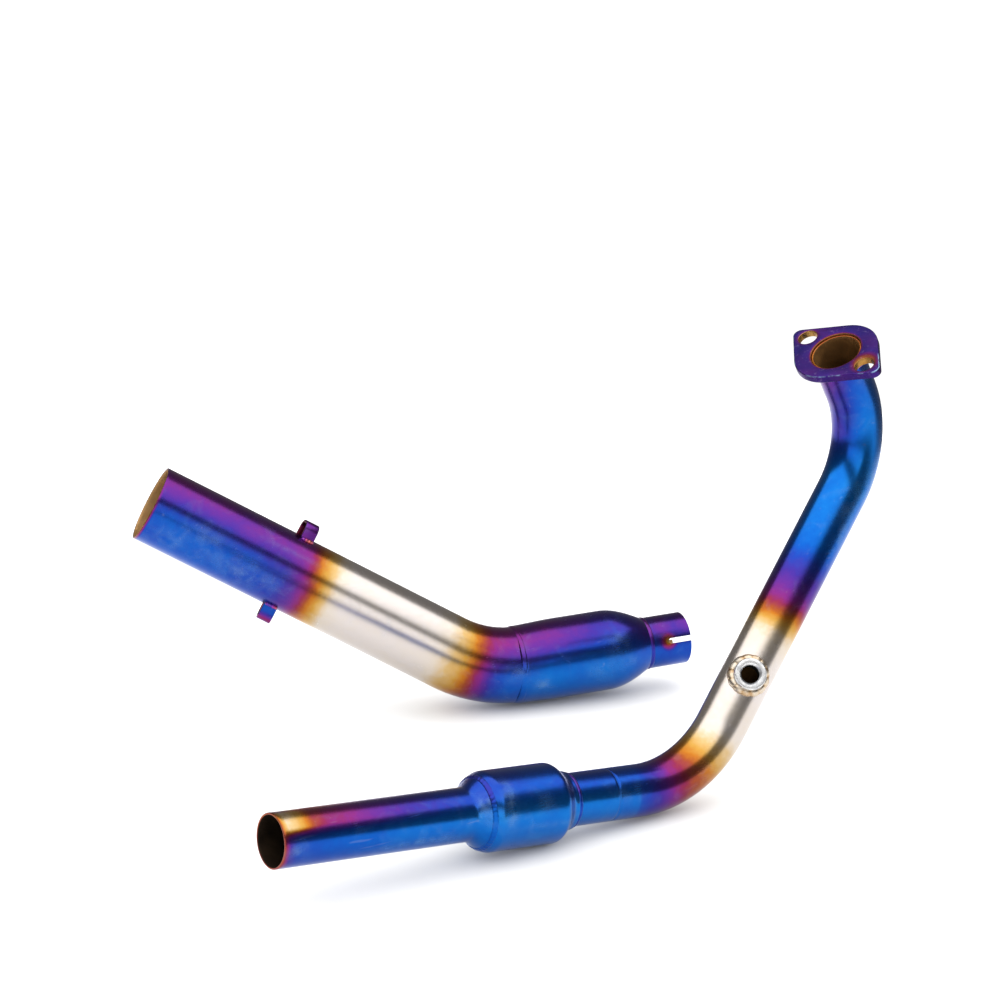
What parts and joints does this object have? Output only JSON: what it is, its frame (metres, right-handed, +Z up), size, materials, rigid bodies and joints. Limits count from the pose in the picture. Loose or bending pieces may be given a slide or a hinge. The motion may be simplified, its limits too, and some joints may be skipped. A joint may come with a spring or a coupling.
{
  "type": "racing exhaust system",
  "caption": "Motorcycle racing exhaust: bent header pipe with head flange, sensor bung and resonator, laid beside its slip-on link pipe with spring hooks.",
  "frame": {"origin": "middle of the underside of the box round both pipes as they lie on a flat surface", "axes": "+X along the header's outlet run, from its mouth towards the lower bend; +Y from the header across to the link pipe; +Z up"},
  "size_m": [0.461, 0.3724, 0.2775],
  "materials": {
    "blued_steel": "heat-tinted blue, satin polish",
    "bare_steel": "champagne stainless, satin polish, heat-tinted ends",
    "violet_steel": "heat-tinted violet, fine brushed",
    "weld_bead": "rippled weld, straw and brown tints",
    "bung_steel": "turned, bright"
  },
  "bodies": {
    "header": {"head_flange": "violet_steel", "head_flange_weld": "weld_bead", "header_tube": "blued_steel", "o2_sensor_bung": "bung_steel", "o2_bung_weld": "weld_bead", "header_tube_seam": "blued_steel", "resonator_neck": "blued_steel", "resonator_neck_weld": "weld_bead", "resonator_shell": "blued_steel", "resonator_shell_weld": "blued_steel", "outlet_tube": "blued_steel"},
    "link_pipe": {"slip_collar": "violet_steel", "slip_collar_weld": "violet_steel", "link_chamber": "blued_steel", "link_chamber_weld": "blued_steel", "link_tube": "bare_steel", "spring_hook_upper": "violet_steel", "spring_hook_upper_weld_a": "weld_bead", "spring_hook_upper_weld_b": "weld_bead", "spring_hook_lower": "violet_steel", "spring_hook_lower_weld_a": "weld_bead", "spring_hook_lower_weld_b": "weld_bead"}
  },
  "joints": [
    {"name": "collar_slip", "type": "slide", "parent": "header", "child": "link_pipe", "axis": [0.9736, -0.2284, 0], "range_m": [0, 0.035]}
  ]
}
